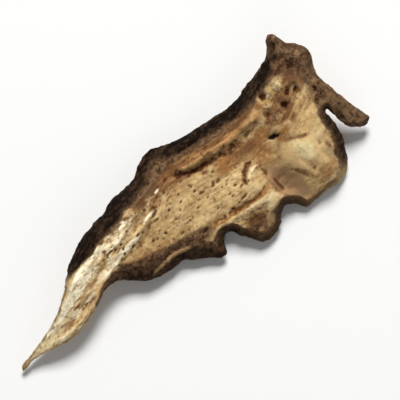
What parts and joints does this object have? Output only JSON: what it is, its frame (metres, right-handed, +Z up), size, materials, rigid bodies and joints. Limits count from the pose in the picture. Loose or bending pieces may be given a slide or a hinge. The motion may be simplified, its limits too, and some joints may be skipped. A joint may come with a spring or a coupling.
{
  "type": "dried dong quai root slice",
  "caption": "Warped lengthwise slice of a dried dong quai root, with a knobbly crown, a curled shoulder and a long thin tail, lying on a surface.",
  "frame": {"origin": "on the ground, under the middle of the slice's box", "axes": "+X along the root towards the crown, +Z up, away from the surface that the slice lies on"},
  "size_m": [0.062, 0.0244, 0.01],
  "materials": {
    "root": "dry matt cut face, cream to tan, with wrinkled grey-brown bark round its edge"
  },
  "bodies": {
    "root": {"root_slice": "root"}
  },
  "joints": []
}
